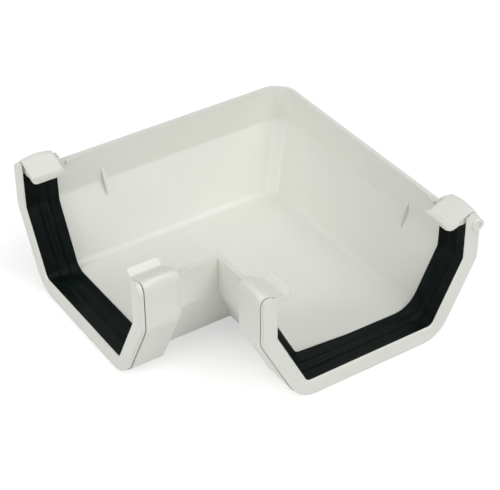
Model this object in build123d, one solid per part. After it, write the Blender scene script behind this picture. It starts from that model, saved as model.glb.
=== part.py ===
from build123d import *
import math
import os

# White square-line gutter angle, 90 degrees, with two socket ends. Lengths are in mm.
# The two gutter centre lines cross at the origin, on the underside of the channel.
# The left leg runs along -X, the right leg along -Y, and the outer corner is at +X +Y.

# Channel, measured on its outside
channel_width = 122.0        # between the upright faces
channel_height = 59.3        # underside to top edge
inner_run = 24.5             # inside of the bend to the back of each collar
crease_height = 37.7         # where the upright band meets the sloping side
slope_inset = 19.0           # how far each sloping side leans in at the bottom
wall = 2.6
crease_radius = 5.2
floor_radius = 7.2

# Outer corner of the channel in plan: a narrow flat between two rounds
corner_flat = 4.2
corner_spare = 0.16          # radius of the low rounds, beyond what the wall and the floor's round take
corner_radius_top = 9.0

# Socket collar, as distances outward from the channel's outside (side, slope, floor)
rim_out = (5.1, 5.1, 6.9)
rim_foot_spare = 4.5         # radius of the collar's outer feet, beyond what their offset gives
bore_out = (-3.5, -3.4, -2.3)
bore_bevel = 0.7
front_flange = 2.4
rear_flange = 1.5
rear_step = 1.0              # how far the rear flange stays below the strap's face
core_drop = 0.7              # collar wall's top, below the channel's top edge
shoulder_rise = 0.2          # where the upright outer face starts to round over, above that top
horn_rise = 5.4              # top of the flanges, above that top
horn_crest = 1.6             # how far outside the channel the rounded top levels out
horn_inner_radius = 1.2

# Retaining strap round the collar, between the flanges
strap_width = 18.6
strap_side_gap = 0.4
strap_thickness = 2.7
strap_gap = 0.1
strap_proud = (0.2, 0.5, 0.5)    # how far the strap's faces stand out beyond the front flange's

# Cap at each end of a strap, in section: distance in from the channel's outside, height above the
# collar wall's top
cap_break = (5.6, 3.0)
cap_valley = (9.8, 1.0)
cap_tips = ((14.0, 1.9), (14.0, 3.8))    # over the outer wall, and over the inner wall
cap_ends = (7.6, 1.6)        # fullness of its rounded top at its ends: above the collar wall's top, and
cap_middle = (10.2, 1.85)    # back along its slope; the same midway, where it is crowned
cap_tip_depth = 2.1
cap_sheet = 2.6
cap_toe = 1.2                # flat under the valley, inward and outward of it
cap_heel = 0.4
cap_valley_radius = 1.5
tab_front_inset = 0.4
tab_rear_inset = 0.2
tab_skew = 0.6
tab_corner_radius = 1.2

# Rubber seal, in a recess behind the bore's lip
lip_depth = 1.0
seal_width = 18.3
seal_depth = 2.9             # depth of the recess below the bore
seal_drop = 0.6              # seal's ends, below the collar wall's top
seal_base = 2.1
seal_rib_rise = 1.1
seal_front_rib = (1.1, 1.0)    # its middle behind the seal's front edge, half width
seal_rear_rib = (2.0, 1.3)     # clear gap ahead of the sealing lip's foot, half width
seal_lip_rise = 2.2          # sealing lip along the rear edge, above the base
seal_lip_foot = 3.4          # its width at its foot and at its crest
seal_lip_crest = 1.1

# Small features of the moulding
stop_distance = 47.8         # insertion stops, from the open end
stop_thickness = 1.3
stop_below = 7.5             # how far a stop reaches below and above the crease
stop_above = 8.0
stop_reach = 1.6             # its bulge beyond the straight line between those ends
nib_length = 10.0            # small ledge under the top edge, behind the collar
nib_height = 2.2
nib_reach = 1.2
nib_gap = 3.3
lug_radius = 3.3             # round lug on the right-hand socket
lug_drop = 0.4               # lug's centre, below the collar wall's top
lug_overhang = 3.0
lug_reach = 1.6
lug_dimple_radius = 1.6
lug_dimple_depth = 0.6

half_width = channel_width / 2
slope_length = math.hypot(crease_height, slope_inset)
normal_side = crease_height / slope_length
normal_down = slope_inset / slope_length
slope_distance = normal_side * half_width - normal_down * crease_height
floor_turn = math.atan2(crease_height, slope_inset)
corner_radius_low = wall + (floor_radius - wall) * math.tan(floor_turn / 2) + corner_spare
groove_out = tuple(out - strap_thickness - strap_gap for out in rim_out)
strap_in = tuple(out - strap_thickness for out in rim_out)
strap_out = tuple(out + proud for out, proud in zip(rim_out, strap_proud))
recess_out = tuple(out + seal_depth for out in bore_out)
groove_width = strap_width + 2 * strap_side_gap
collar_depth = front_flange + groove_width + rear_flange
strap_start = front_flange + strap_side_gap
open_end = -half_width - inner_run - collar_depth
core_height = channel_height - core_drop
horn_shoulder = core_height + shoulder_rise
horn_height = core_height + horn_rise
seal_top = core_height - seal_drop
over = 5.0                   # how far cutting shapes run past what they cut
above = core_height + cap_middle[0] + over
embed = 0.4                  # how deep small features run into the wall that carries them

diagonal = Plane(origin=(0, 0, 0), z_dir=(1, -1, 0))


def section_plane(distance):
    """Plane across the left leg, that far in from its open end. Its x is Y and its y is Z."""
    return Plane(origin=(open_end + distance, 0, 0), x_dir=(0, 1, 0), z_dir=(1, 0, 0))


def along_leg(section, start, length):
    """Left-leg solid from a section drawn across the leg."""
    return extrude(section_plane(start) * section, amount=length, dir=(1, 0, 0))


def corners(out):
    """Half width, crease height, foot half width and floor height of an offset of the channel."""
    side, slope, floor = out
    half = half_width + side
    crease = (normal_side * half - slope_distance - slope) / normal_down
    foot = (slope_distance + slope - normal_down * floor) / normal_side
    return half, crease, foot, -floor


def trough(out, top, foot_spare=0):
    """Filled section of the channel offset outward by out, closed level at top."""
    half, crease, foot, floor = corners(out)
    right = [(half, top), (half, crease), (foot, floor)]
    left = [(-x, z) for x, z in reversed(right)]
    outline = Polygon(*right, *left, align=None)
    creases = [v for v in outline.vertices() if abs(v.Y - crease) < 0.001]
    outline = fillet(creases, crease_radius + out[1])
    feet = [v for v in outline.vertices() if abs(v.Y - floor) < 0.001]
    return fillet(feet, floor_radius + out[1] + foot_spare)


def corner_outline(height, side, radius):
    """Plan outline, at one height, of what the outer corner's flat and its two rounds leave away."""
    cut = (corner_flat + 2 * radius * math.tan(math.pi / 8)) / math.sqrt(2)
    near, far = side - cut - over, side + over
    outside = [(near, far), (far, far), (far, near)]
    face = Polygon(*outside, (side, near), (side, side - cut), (side - cut, side), (near, side), align=None)
    rounds = [v for v in face.vertices() if abs(v.X - v.Y) < cut + 0.001 and v.X + v.Y < 2 * side]
    return Pos(0, 0, height) * fillet(rounds, radius)


def corner_waste(offset, top):
    """What the flat outer corner leaves away from the two mitred legs, widening upward."""
    half, crease, foot, floor = corners((offset, offset, offset))
    low = corner_outline(floor, foot, corner_radius_low + offset)
    middle = corner_outline(crease, half, corner_radius_low + offset)
    high = corner_outline(channel_height, half, corner_radius_top + offset)
    waste = loft([low, middle], ruled=True) + loft([middle, high], ruled=True)
    if top > channel_height:
        waste += extrude(high, amount=top - channel_height, dir=(0, 0, 1))
    return waste


def side_edges(solid, height):
    """Edges of a bend that lie level at one height and run along its sides."""
    level = [e for e in solid.edges() if abs(e.center().Z - height) < 0.01 and e.bounding_box().size.Z < 0.01]
    low = solid.bounding_box().min.X
    return [e for e in level if e.center().X > low + 0.01 and e.center().Y > low + 0.01]


def bend(offset, top, end):
    """Both legs and the bend as one filled solid, its walls offset outward by offset."""
    half, crease, foot, floor = corners((offset, offset, offset))
    right = [(half, top), (half, crease), (foot, floor)]
    left = [(-x, z) for x, z in reversed(right)]
    leg = along_leg(Polygon(*right, *left, align=None), end - open_end, half - end)
    leg = split(leg, bisect_by=diagonal, keep=Keep.BOTTOM)
    body = leg + mirror(leg, about=diagonal) - corner_waste(offset, top)
    body = fillet(side_edges(body, crease), crease_radius + offset)
    return fillet(side_edges(body, floor), floor_radius + offset)


def inward(point):
    """A section point given as distance in from the channel's outside and height above the core."""
    return half_width - point[0], core_height + point[1]


def both_sides(solid):
    """A left-leg feature drawn on the outer wall, with its twin on the inner wall."""
    return solid + mirror(solid, about=Plane.XZ)


def horn(step):
    """Rounded top end of a flange, above the collar's wall, lowered all round by step."""
    outer = half_width + rim_out[0] - step
    crest = half_width + horn_crest - step
    inner = half_width + bore_out[0]
    base = core_height - embed
    top = horn_height - step
    across, rise = outer - crest, top - horn_shoulder
    middle = (crest + across * math.sqrt(0.5), horn_shoulder + rise * math.sqrt(0.5))
    lines = Spline((outer, horn_shoulder), middle, (crest, top), tangents=[(0, 1), (-1, 0)]) + Polyline(
        (crest, top), (inner, top), (inner, base), (outer, base), (outer, horn_shoulder)
    )
    face = make_face(lines)
    corner = [v for v in face.vertices() if abs(v.X - inner) < 0.001 and v.Y > top - 0.001]
    return fillet(corner, horn_inner_radius)


def flange(start, thickness, step):
    plate = trough(tuple(out - step for out in rim_out), core_height, rim_foot_spare)
    return along_leg(plate, start, thickness) + both_sides(along_leg(horn(step), start, thickness))


def collar():
    """Socket collar of the left leg, filled, with the strap's groove round it."""
    core = along_leg(trough(groove_out, core_height), 0, collar_depth)
    rear = flange(collar_depth - rear_flange, rear_flange, rear_step)
    return core + flange(0, front_flange, 0) + rear


def socket_bore():
    """What is cut out of the left collar: bore, its bevel, the seal's recess and room for the caps."""
    bore = along_leg(trough(bore_out, above), -over, front_flange + over)
    wide = tuple(out + bore_bevel for out in bore_out)
    bevel = loft([section_plane(0) * trough(wide, above), section_plane(bore_bevel) * trough(bore_out, above)])
    recess = along_leg(trough(recess_out, above), lip_depth, seal_width)
    cap_room = along_leg(trough(rim_out, above) - trough(rim_out, core_height), front_flange, groove_width)
    return bore + bevel + recess + cap_room


def stop_blade():
    """Thin insertion stop across the inside crease of the outer wall."""
    half, crease, foot, floor = corners((-wall, -wall, -wall))
    stop_low = crease_height - stop_below
    stop_high = crease_height + stop_above
    low_side = (slope_distance - wall + normal_down * stop_low) / normal_side
    bulge = ((half + low_side) / 2 - stop_reach, crease_height)
    face = Polygon(
        (half, stop_high), (half + embed, stop_high), (half + embed, crease), (low_side + embed, stop_low),
        (low_side, stop_low), bulge, align=None,
    )
    return along_leg(face, stop_distance, stop_thickness)


def nib():
    """Small ledge just under the top edge of the outer wall, tapering away from the collar."""
    start = open_end + collar_depth + nib_gap
    inner = half_width - wall
    plan = Polygon(
        (start, inner + embed), (start, inner - nib_reach), (start + nib_length, inner),
        (start + nib_length, inner + embed), align=None,
    )
    return extrude(Pos(0, 0, channel_height - nib_height) * plan, amount=nib_height - embed, dir=(0, 0, 1))


def lug():
    """Round lug on the front flange of the right-hand socket, drawn on the left one and mirrored."""
    centre = (half_width + lug_overhang, core_height - lug_drop)
    disc = along_leg(Pos(*centre) * Circle(lug_radius), -lug_reach, front_flange + lug_reach)
    dimple = along_leg(Pos(*centre) * Circle(lug_dimple_radius), -lug_reach, lug_dimple_depth)
    return disc - dimple


def moulding():
    inside = bend(-wall, above, open_end + front_flange)
    body = bend(0, channel_height, open_end)
    socket = collar()
    body += socket
    body += mirror(socket, about=diagonal)
    body -= inside
    bore = socket_bore()
    body -= bore
    body -= mirror(bore, about=diagonal)
    for feature in (stop_blade(), nib()):
        body += feature
        body += mirror(feature, about=diagonal)
    body += mirror(lug(), about=diagonal)
    return body


def cap_hump(fullness):
    """Section of a cap from its outer face over the rounded top to the start of its inward slope."""
    height, pull = fullness
    outer = half_width + strap_out[0]
    base = core_height + strap_gap
    end = inward(cap_break)
    run = (cap_valley[0] - cap_break[0], cap_break[1] - cap_valley[1])
    back = (end[0] + pull * run[0], end[1] + pull * run[1])
    rounded = Bezier((outer, horn_shoulder), (outer, core_height + height), back, end)
    lines = rounded + Polyline(end, (end[0], base), (outer, base), (outer, horn_shoulder))
    return make_face(lines)


def cap_tab(tip):
    """Section of the inward part of a cap: slope, valley and turned-up tip."""
    break_side, break_height = inward(cap_break)
    valley_side, valley_height = inward(cap_valley)
    tip_side, tip_height = inward(tip)
    base = core_height + strap_gap
    root = break_side + cap_break[0] / 2
    under = valley_height - cap_sheet
    outline = Polygon(
        (root, base), (root, break_height), (break_side, break_height), (valley_side, valley_height),
        (tip_side, tip_height), (tip_side, tip_height - cap_tip_depth), (valley_side - cap_toe, under),
        (valley_side + cap_heel, under), (break_side + cap_heel, base), align=None,
    )
    valley = [v for v in outline.vertices() if abs(v.X - valley_side) < 0.001]
    return fillet(valley, cap_valley_radius)


def tab_plan(tip):
    """Plan outline of the tab, skewed away from the open end."""
    front = strap_start + tab_front_inset
    rear = strap_start + strap_width - tab_rear_inset
    root = cap_break[0]
    slant = tab_skew / (tip[0] - root)
    ends = []
    for side in (root / 2, tip[0]):
        shift = slant * (side - root)
        ends.append((front + shift, rear + shift, side))
    (front_root, rear_root, near), (front_tip, rear_tip, far) = ends
    points = [(front_root, near), (front_tip, far), (rear_tip, far), (rear_root, near)]
    plan = Polygon(*[(open_end + s, half_width - u) for s, u in points], align=None)
    tips = [v for v in plan.vertices() if abs(v.Y - half_width + far) < 0.001]
    return fillet(tips, tab_corner_radius)


def cap(tip):
    """Cap over the outer wall, with its tab's tip at the given section point."""
    stations = ((0, cap_ends), (0.5, cap_middle), (1, cap_ends))
    hump = loft([section_plane(strap_start + share * strap_width) * cap_hump(full) for share, full in stations])
    tab = along_leg(cap_tab(tip), strap_start, strap_width + tab_skew + over)
    tab &= extrude(tab_plan(tip), amount=above, dir=(0, 0, 1))
    return hump + tab


def strap():
    """Retaining strap of the left socket, with a cap at each end."""
    base = core_height + strap_gap
    band_section = trough(strap_out, base, rim_foot_spare) - trough(strap_in, base + over)
    band = along_leg(band_section, strap_start, strap_width)
    over_outer, over_inner = cap_tips
    return band + cap(over_outer) + mirror(cap(over_inner), about=Plane.XZ)


def seal():
    """Seal of the left socket, with its ribs and rear lip, swept round its recess."""
    half, crease, foot, floor = corners(recess_out)
    right = [(half, seal_top), (half, crease), (foot, floor)]
    left = [(-x, z) for x, z in reversed(right)]
    crease_turn = crease_radius + recess_out[1]
    floor_turn = floor_radius + recess_out[1]
    path = FilletPolyline(*right, *left, radius=[crease_turn, floor_turn, floor_turn, crease_turn])
    path = section_plane(lip_depth) * path
    top = seal_base + seal_rib_rise
    lip_top = seal_base + seal_lip_rise
    lip_foot = seal_width - seal_lip_foot
    gap, half_rear = seal_rear_rib
    points = [(0, 0), (0, seal_base)]
    for place, half_rib in (seal_front_rib, (lip_foot - gap - half_rear, half_rear)):
        points += [(place - half_rib, seal_base), (place - half_rib / 2, top)]
        points += [(place + half_rib / 2, top), (place + half_rib, seal_base)]
    points += [(lip_foot, seal_base), (seal_width - seal_lip_crest, lip_top)]
    points += [(seal_width, lip_top), (seal_width, 0)]
    start = Plane(origin=(open_end + lip_depth, half, seal_top), x_dir=(1, 0, 0), z_dir=(0, 0, -1))
    across = start * Polygon(*points, align=None)
    return sweep(across, path=path)


os.makedirs("parts", exist_ok=True)
left_seal = seal()
left_strap = strap()
nodes = {
    "gutter_angle": moulding(),
    "left_seal": left_seal,
    "right_seal": mirror(left_seal, about=diagonal),
    "left_strap": left_strap,
    "right_strap": mirror(left_strap, about=diagonal),
}
for name, shape in nodes.items():
    shape.label = name
    export_step(shape, f"parts/{name}.step")
    print(name, round(shape.volume), len(shape.solids()), shape.is_valid)
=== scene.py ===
import math
import bmesh
import bpy
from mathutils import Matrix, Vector


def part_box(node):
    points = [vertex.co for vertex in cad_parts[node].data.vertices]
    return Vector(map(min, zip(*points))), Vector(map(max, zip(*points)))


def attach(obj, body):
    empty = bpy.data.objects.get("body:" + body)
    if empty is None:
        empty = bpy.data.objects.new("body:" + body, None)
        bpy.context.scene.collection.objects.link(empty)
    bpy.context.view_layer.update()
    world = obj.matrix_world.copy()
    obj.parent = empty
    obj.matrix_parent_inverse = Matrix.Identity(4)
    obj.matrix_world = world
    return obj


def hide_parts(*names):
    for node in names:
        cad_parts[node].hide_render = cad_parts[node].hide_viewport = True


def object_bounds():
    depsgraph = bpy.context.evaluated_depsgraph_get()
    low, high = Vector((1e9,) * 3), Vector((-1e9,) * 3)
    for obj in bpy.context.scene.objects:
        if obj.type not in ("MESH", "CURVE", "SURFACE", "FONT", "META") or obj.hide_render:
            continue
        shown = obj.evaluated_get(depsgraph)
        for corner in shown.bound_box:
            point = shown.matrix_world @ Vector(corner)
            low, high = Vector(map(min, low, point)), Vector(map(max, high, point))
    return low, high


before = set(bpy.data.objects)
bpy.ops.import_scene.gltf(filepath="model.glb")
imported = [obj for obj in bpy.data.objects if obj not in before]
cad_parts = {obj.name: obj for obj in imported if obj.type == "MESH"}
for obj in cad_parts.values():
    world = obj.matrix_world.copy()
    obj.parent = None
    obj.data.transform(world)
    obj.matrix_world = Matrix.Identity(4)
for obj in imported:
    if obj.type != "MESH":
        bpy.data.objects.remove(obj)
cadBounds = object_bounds()
print("frame loaded:", ", ".join(sorted(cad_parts)))


# camera at the photograph's angle, worked out from the fitting's own right angles
cameraView = {
    "place": (-0.392658, -0.597739, 0.533471),
    "turn": 33.144,      # degrees from +Y towards +X
    "down": 36.496,      # degrees below level
    "roll": -0.458,
    "focal": 1604.096,   # in pixels of a frame as wide as frameWidth
    "frameWidth": 500,
    "sensorWidth": 36,   # mm
    "nearest": 0.01,     # m
}


def addCamera(view):
    turn, down, roll = (math.radians(view[key]) for key in ("turn", "down", "roll"))
    ahead = Vector((math.sin(turn) * math.cos(down), math.cos(turn) * math.cos(down), -math.sin(down)))
    right = Vector((math.cos(turn), -math.sin(turn), 0))
    up = right.cross(ahead)
    rolledRight = right * math.cos(roll) + up * math.sin(roll)
    rolledUp = up * math.cos(roll) - right * math.sin(roll)
    data = bpy.data.cameras.new("photoCamera")
    data.sensor_fit = "HORIZONTAL"
    data.sensor_width = view["sensorWidth"]
    data.lens = view["sensorWidth"] * view["focal"] / view["frameWidth"]
    data.clip_start = view["nearest"]
    camera = bpy.data.objects.new("photoCamera", data)
    bpy.context.scene.collection.objects.link(camera)
    matrix = camera.matrix_world.copy()
    for row in range(3):
        matrix[row][0] = rolledRight[row]
        matrix[row][1] = rolledUp[row]
        matrix[row][2] = -ahead[row]
        matrix[row][3] = view["place"][row]
    camera.matrix_world = matrix
    bpy.context.scene.camera = camera


addCamera(cameraView)
print("camera set")


def newMaterial(name):
    material = bpy.data.materials.new(name)
    material.use_nodes = True
    nodes, links = material.node_tree.nodes, material.node_tree.links
    return material, nodes, links, nodes["Principled BSDF"]


def addNoise(nodes, links, place, scale, detail):
    noise = nodes.new("ShaderNodeTexNoise")
    noise.inputs["Scale"].default_value = scale
    noise.inputs["Detail"].default_value = detail
    links.new(place, noise.inputs["Vector"])
    return noise.outputs["Fac"]


def addRange(nodes, links, value, span, result):
    # eases from one end of the result to the other while the value crosses its span
    spread = nodes.new("ShaderNodeMapRange")
    spread.interpolation_type = "SMOOTHSTEP"
    for socket, number in zip(("From Min", "From Max", "To Min", "To Max"), (*span, *result)):
        spread.inputs[socket].default_value = number
    links.new(value, spread.inputs["Value"])
    return spread.outputs["Result"]


def addMath(nodes, links, operation, first, second):
    step = nodes.new("ShaderNodeMath")
    step.operation = operation
    links.new(first, step.inputs[0])
    links.new(second, step.inputs[1])
    return step.outputs["Value"]


def addMix(nodes, links, share, first, second):
    # share and either colour may be a socket or a plain value
    mix = nodes.new("ShaderNodeMix")
    mix.data_type = "RGBA"
    for socket, value in ((mix.inputs[0], share), (mix.inputs[6], first), (mix.inputs[7], second)):
        if isinstance(value, bpy.types.NodeSocket):
            links.new(value, socket)
        else:
            socket.default_value = (*value, 1) if isinstance(value, tuple) else value
    return mix.outputs[2]


def addBump(nodes, links, height, strength, depth, normal=None):
    bump = nodes.new("ShaderNodeBump")
    bump.inputs["Strength"].default_value = strength
    bump.inputs["Distance"].default_value = depth
    links.new(height, bump.inputs["Height"])
    if normal:
        links.new(normal, bump.inputs["Normal"])
    return bump.outputs["Normal"]


def addRelief(nodes, links, place, relief, normal):
    scale, detail, strength, depth = relief
    return addBump(nodes, links, addNoise(nodes, links, place, scale, detail), strength, depth, normal)


# A noise is its scale and detail, and the span its middle values fill. A relief is its scale, detail,
# strength and depth.
whitePlastic = {
    "colour": (0.800, 0.806, 0.752),
    "cloudColour": (0.772, 0.778, 0.718),    # faint patches where the melt ran differently
    "cloudNoise": (26, 4),
    "cloudSpan": (0.25, 0.75),
    "seamShadeColour": (0.30, 0.30, 0.27),       # painted shade that darkens the narrow seams and gaps between parts
    "seamShadeShare": 0.75,
    "seamWidth": 0.0016,
    "seamSpan": (0.15, 0.6),                 # openness of a seam, from fully darkened by painted shade to clear
    "seamSamples": 8,
    "speckColour": (0.16, 0.15, 0.12),       # sparse specks of dirt
    "speckScale": 190,
    "speckSize": (0.04, 0.09),
    "speckRarity": (0.990, 0.995),
    "speckShare": 0.5,
    "roughness": (0.33, 0.44),
    "patchNoise": (60, 5),
    "patchSpan": (0.2, 0.8),
    "refraction": 1.5,
    "edgeRadius": 0.00045,                   # softened moulded edges
    "edgeSamples": 6,
    "waviness": (70, 1, 0.10, 0.0010),       # slight sink marks
    "grain": (850, 2, 0.07, 0.00012),        # fine skin
}


# painted shade: darkens the colour where ambient occlusion finds narrow seams and gaps between parts
def addSeamShade(nodes, links, look, colour):
    seam = nodes.new("ShaderNodeAmbientOcclusion")
    seam.samples = look["seamSamples"]
    seam.inputs["Distance"].default_value = look["seamWidth"]
    share = addRange(nodes, links, seam.outputs["AO"], look["seamSpan"], (look["seamShadeShare"], 0))
    return addMix(nodes, links, share, colour, look["seamShadeColour"])


def addSpecks(nodes, links, place, look, colour):
    # a round spot at the middle of the few cells that are picked
    cells = nodes.new("ShaderNodeTexVoronoi")
    cells.inputs["Scale"].default_value = look["speckScale"]
    links.new(place, cells.inputs["Vector"])
    near = addRange(nodes, links, cells.outputs["Distance"], look["speckSize"], (1, 0))
    pick = nodes.new("ShaderNodeSeparateColor")
    links.new(cells.outputs["Color"], pick.inputs["Color"])
    chosen = addRange(nodes, links, pick.outputs["Red"], look["speckRarity"], (0, look["speckShare"]))
    share = addMath(nodes, links, "MULTIPLY", near, chosen)
    return addMix(nodes, links, share, colour, look["speckColour"])


def makePlastic(look):
    material, nodes, links, shader = newMaterial("whitePlastic")
    place = nodes.new("ShaderNodeTexCoord").outputs["Object"]
    cloud = addNoise(nodes, links, place, *look["cloudNoise"])
    cloudShare = addRange(nodes, links, cloud, look["cloudSpan"], (0, 1))
    colour = addMix(nodes, links, cloudShare, look["colour"], look["cloudColour"])
    # painted shade in the narrow seams, from ambient occlusion
    colour = addSeamShade(nodes, links, look, colour)
    colour = addSpecks(nodes, links, place, look, colour)
    links.new(colour, shader.inputs["Base Color"])
    patches = addNoise(nodes, links, place, *look["patchNoise"])
    roughness = addRange(nodes, links, patches, look["patchSpan"], look["roughness"])
    links.new(roughness, shader.inputs["Roughness"])
    softEdge = nodes.new("ShaderNodeBevel")
    softEdge.samples = look["edgeSamples"]
    softEdge.inputs["Radius"].default_value = look["edgeRadius"]
    normal = softEdge.outputs["Normal"]
    for relief in ("waviness", "grain"):
        normal = addRelief(nodes, links, place, look[relief], normal)
    links.new(normal, shader.inputs["Normal"])
    shader.inputs["IOR"].default_value = look["refraction"]
    return material


blackRubber = {
    "colour": (0.0016, 0.0042, 0.0035),
    "bloomColour": (0.0065, 0.0122, 0.0107),    # pale bloom and dust on the rubber
    "bloomNoise": (90, 6),
    "bloomSpan": (0.35, 0.85),
    "roughness": (0.34, 0.55),
    "roughnessSpan": (0.25, 0.8),
    "shine": 0.07,
    "lineScale": 380,                        # lines left by the die, along the seal
    "lineWander": 1.5,
    "lineDetail": 1,
    "lineStrength": 0.22,
    "lineDepth": 0.00025,
    "grain": (1900, 2, 0.25, 0.00012),
}


def makeRubber(name, look, across):
    material, nodes, links, shader = newMaterial(name)
    place = nodes.new("ShaderNodeTexCoord").outputs["Object"]
    bloom = addNoise(nodes, links, place, *look["bloomNoise"])
    bloomShare = addRange(nodes, links, bloom, look["bloomSpan"], (0, 1))
    colour = addMix(nodes, links, bloomShare, look["colour"], look["bloomColour"])
    links.new(colour, shader.inputs["Base Color"])
    roughness = addRange(nodes, links, bloom, look["roughnessSpan"], look["roughness"])
    links.new(roughness, shader.inputs["Roughness"])
    lines = nodes.new("ShaderNodeTexWave")
    lines.bands_direction = across
    lines.inputs["Scale"].default_value = look["lineScale"]
    lines.inputs["Distortion"].default_value = look["lineWander"]
    lines.inputs["Detail"].default_value = look["lineDetail"]
    links.new(place, lines.inputs["Vector"])
    normal = addBump(nodes, links, lines.outputs["Fac"], look["lineStrength"], look["lineDepth"])
    normal = addRelief(nodes, links, place, look["grain"], normal)
    links.new(normal, shader.inputs["Normal"])
    shader.inputs["Specular IOR Level"].default_value = look["shine"]
    return material


plastic = makePlastic(whitePlastic)
rubbers = {
    "left": makeRubber("leftRubber", blackRubber, "X"),
    "right": makeRubber("rightRubber", blackRubber, "Y"),
}
for name in ("gutter_angle", "left_strap", "right_strap"):
    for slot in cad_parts[name].material_slots:
        slot.material = plastic
print("materials on")


# Rubber seals, in mm. The recess that holds one is given by where its side, slope and floor meet.
recess = {
    "creaseHeight": 37.62,
    "footReach": 41.14,
    "creaseRadius": 4.7,
    "footRadius": 6.7,
    "spare": 0.04,
}

# Section across a seal, from its front edge to its free rear lip: place, height above the recess, and
# share of the lip's own lift
sealSection = [
    (0.0, 0.0, 0.0), (0.0, 1.7, 0.0), (0.3, 2.1, 0.0), (0.9, 2.3, 0.0), (1.6, 2.1, 0.0), (2.4, 1.95, 0.0),
    (4.6, 2.05, 0.0), (6.6, 2.1, 0.02), (7.4, 1.8, 0.04), (8.0, 1.3, 0.05), (9.0, 1.15, 0.10),
    (9.8, 1.35, 0.18), (10.6, 2.2, 0.28), (11.3, 2.7, 0.38), (12.1, 2.75, 0.45), (12.8, 2.3, 0.50),
    (13.6, 1.9, 0.55), (14.5, 2.2, 0.68), (15.5, 2.9, 0.82), (16.5, 3.5, 0.94), (17.3, 3.75, 1.0),
    (17.9, 3.8, 1.0), (18.3, 3.4, 1.0), (18.3, 1.6, 0.3), (18.3, 0.0, 0.0),
]

# How far each seal's lip stands off its section's height along its run, since rubber stands unevenly, and
# what its rounds at the floor gain in radius with the lift
sealRuns = {
    "left": {
        "side": (2.3, 2.8), "slope": (2.5, 1.6), "floor": (-0.3, 0.1, 0.4), "nearSlope": (0.4, 0.6),
        "nearSide": (0.8, 0.8), "footRound": 5.5, "nearRound": 2.0,
    },
    "right": {
        "side": (0.8, 1.2), "slope": (0.3, -0.1), "floor": (-1.3, -0.3, 2.6), "nearSlope": (5.5, 5.3),
        "nearSide": (2.5, 0.8), "footRound": 13.0, "nearRound": 1.0,
    },
}

# Radii that both seals share, and how finely they are made
sealRounds = {"least": 1.5, "creaseByLift": 4, "middle": 20, "middleByLift": 60, "mostOfSide": 0.45}
sealMesh = {"cornerSteps": 10, "straightSteps": 9, "perMetre": 1000, "joinWithin": 1e-6, "sharpAngle": 50}


def meeting(first, second):
    # where two lines cross, each given by a point and a direction in the plane of the section
    (ax, az), (adx, adz) = first
    (bx, bz), (bdx, bdz) = second
    share = ((bx - ax) * bdz - (bz - az) * bdx) / (adx * bdz - adz * bdx)
    return ax + share * adx, az + share * adz


def sealLine(run, height, lift, box):
    # one lengthwise line of a seal, as its seven corners and the radius of the round at each
    low, high = box
    half, top, floor = high[1], high[2], low[2]
    crease, foot = recess["creaseHeight"], recess["footReach"]
    tilt = math.atan2(half - foot, crease - floor)
    down = (-math.sin(tilt), -math.cos(tilt))

    def off(key, end):
        return height + lift * run[key][end]

    def side(reach):
        return (half - reach, top), (0, -1)

    def slope(reach):
        return (half - reach * math.cos(tilt), crease + reach * math.sin(tilt)), down

    def base(reach):
        return (0, floor + reach), (1, 0)

    right = [
        (half - off("side", 0), top),
        meeting(side(off("side", 1)), slope(off("slope", 0))),
        meeting(slope(off("slope", 1)), base(off("floor", 0))),
    ]
    left = [
        meeting(slope(off("nearSlope", 0)), base(off("floor", 2))),
        meeting(side(off("nearSide", 0)), slope(off("nearSlope", 1))),
        (half - off("nearSide", 1), top),
    ]
    middle = [(0, floor + off("floor", 1))]
    corners = right + middle + [(-x, z) for x, z in left]
    least = sealRounds["least"]
    creaseRound = max(recess["creaseRadius"] - height, least) + sealRounds["creaseByLift"] * lift
    footRound = max(recess["footRadius"] - height, least)
    middleRound = sealRounds["middleByLift"] * lift + sealRounds["middle"]
    rounds = [0, creaseRound, footRound + lift * run["footRound"], middleRound,
              footRound + lift * run["nearRound"], creaseRound, 0]
    return [Vector(corner) for corner in corners], rounds


def roundedPoints(corners, rounds):
    # the line's points, with the same number of steps in every straight and every round
    points, last = [], corners[0]
    steps, cornerSteps = sealMesh["straightSteps"], sealMesh["cornerSteps"]
    for before, corner, after, radius in zip(corners, corners[1:], corners[2:], rounds[1:]):
        inDir, outDir = (corner - before).normalized(), (after - corner).normalized()
        turn = inDir.angle(outDir)
        room = sealRounds["mostOfSide"] * min((corner - before).length, (after - corner).length)
        cut = min(radius * math.tan(turn / 2), room)
        start, end = corner - inDir * cut, corner + outDir * cut
        points += [last.lerp(start, step / steps) for step in range(steps)]
        bow = math.cos(turn / 2)
        for step in range(cornerSteps):
            share = step / cornerSteps
            first, second, third = (1 - share) ** 2, 2 * share * (1 - share) * bow, share ** 2
            points.append((start * first + corner * second + end * third) / (first + second + third))
        last = end
    points += [last.lerp(corners[-1], step / steps) for step in range(steps + 1)]
    return points


def sealRows(side, box):
    # the section's lines in order, each with its place across the seal
    rows = []
    for place, height, lift in sealSection:
        line = sealLine(sealRuns[side], max(height, recess["spare"]), lift, box)
        rows.append([(place, point) for point in roundedPoints(*line)])
    rows.append(rows[0])                       # the section closes on itself, under the seal
    return rows


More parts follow.
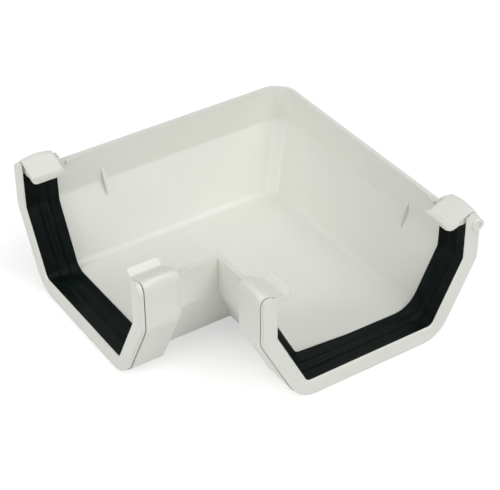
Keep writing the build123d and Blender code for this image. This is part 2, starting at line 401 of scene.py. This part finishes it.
def makeSeal(side):
    node = side + "_seal"
    name = side + "RubberSeal"
    low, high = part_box(node)
    across = 0 if side == "left" else 1        # axis along the leg
    perMetre, spare = sealMesh["perMetre"], recess["spare"]
    box = [Vector((point[across], point[1 - across], point[2])) * perMetre for point in (low, high)]
    rows = sealRows(side, box)
    width = sealSection[-1][0]
    shape = bmesh.new()
    bmesh.ops.create_grid(shape, x_segments=len(rows) - 1, y_segments=len(rows[0]) - 1, size=1)
    for vert in shape.verts:
        row = round((vert.co.x + 1) / 2 * (len(rows) - 1))
        station = round((vert.co.y + 1) / 2 * (len(rows[0]) - 1))
        place, (reach, rise) = rows[row][station]
        inset = min(max(place, spare), width - spare)
        along, reach, rise = (box[0][0] + inset) / perMetre, reach / perMetre, rise / perMetre
        vert.co = (along, reach, rise) if across == 0 else (reach, along, rise)
    bmesh.ops.remove_doubles(shape, verts=shape.verts, dist=sealMesh["joinWithin"])
    bmesh.ops.holes_fill(shape, edges=[edge for edge in shape.edges if edge.is_boundary], sides=0)
    bmesh.ops.recalc_face_normals(shape, faces=shape.faces)
    mesh = bpy.data.meshes.new(name)
    shape.to_mesh(mesh)
    shape.free()
    mesh.shade_smooth()
    mesh.set_sharp_from_angle(angle=math.radians(sealMesh["sharpAngle"]))
    print(side, "seal", len(mesh.polygons), "faces")
    piece = bpy.data.objects.new(name, mesh)
    bpy.context.scene.collection.objects.link(piece)
    mesh.materials.append(rubbers[side])
    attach(piece, "root")
    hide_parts(node)


for side in rubbers:
    makeSeal(side)
print("seals in")


stage = {
    "floorSize": 2.6,
    "floorColour": (0.70, 0.70, 0.70),
    "floorRoughness": 0.9,
    "floorLift": 0.52,       # added to the floor where it is looked at, so that it reads as white
    "backdropColour": (1, 1, 1),
    "worldStrength": 0.31,
    "gap": 0.0002,
}


def seenDirectly(nodes, links):
    # 1 for rays from the camera, from gloss or through something clear, which see plain white
    rays = nodes.new("ShaderNodeLightPath")
    seen = rays.outputs["Is Camera Ray"]
    for other in ("Is Glossy Ray", "Is Transmission Ray"):
        seen = addMath(nodes, links, "MAXIMUM", seen, rays.outputs[other])
    return seen


def addWorld(look):
    world = bpy.data.worlds.new("studio")
    world.use_nodes = True
    bpy.context.scene.world = world
    nodes, links = world.node_tree.nodes, world.node_tree.links
    backdrop = nodes["Background"]
    backdrop.inputs["Color"].default_value = (*look["backdropColour"], 1)
    strength = addRange(nodes, links, seenDirectly(nodes, links), (0, 1), (look["worldStrength"], 1))
    links.new(strength, backdrop.inputs["Strength"])


def addFloor(look, height):
    shape = bmesh.new()
    bmesh.ops.create_grid(shape, x_segments=1, y_segments=1, size=look["floorSize"] / 2)
    bmesh.ops.translate(shape, verts=shape.verts, vec=(0, 0, height))
    mesh = bpy.data.meshes.new("floor")
    shape.to_mesh(mesh)
    shape.free()
    floor = bpy.data.objects.new("floor", mesh)
    bpy.context.scene.collection.objects.link(floor)
    material, nodes, links, shader = newMaterial("paleFloor")
    shader.inputs["Base Color"].default_value = (*look["floorColour"], 1)
    shader.inputs["Roughness"].default_value = look["floorRoughness"]
    shader.inputs["Emission Color"].default_value = (*look["backdropColour"], 1)
    lift = addRange(nodes, links, seenDirectly(nodes, links), (0, 1), (0, look["floorLift"]))
    links.new(lift, shader.inputs["Emission Strength"])
    mesh.materials.append(material)


# turn is counted from +X towards +Y, rise from level, both in degrees, and reach in metres
lamps = {
    "left": {"turn": 180, "rise": 30, "reach": 2.2, "size": 1.3, "power": 16.5},
    "front": {"turn": 270, "rise": 30, "reach": 2.2, "size": 1.3, "power": 13.8},
    "right": {"turn": 315, "rise": 60, "reach": 2.2, "size": 1.3, "power": 14.5},
}


def addLamp(name, look):
    data = bpy.data.lights.new(name, "AREA")
    data.shape = "SQUARE"
    data.size = look["size"]
    data.energy = look["power"]
    lamp = bpy.data.objects.new(name, data)
    bpy.context.scene.collection.objects.link(lamp)
    turn, rise = math.radians(look["turn"]), math.radians(look["rise"])
    towards = Vector((math.cos(turn) * math.cos(rise), math.sin(turn) * math.cos(rise), math.sin(rise)))
    lamp.location = towards * look["reach"]
    lamp.rotation_euler = (-towards).to_track_quat("-Z", "Y").to_euler()


addWorld(stage)
addFloor(stage, cadBounds[0][2] - stage["gap"])
for name, look in lamps.items():
    addLamp(name, look)
bpy.context.scene.view_settings.view_transform = "Standard"
print("stage set")
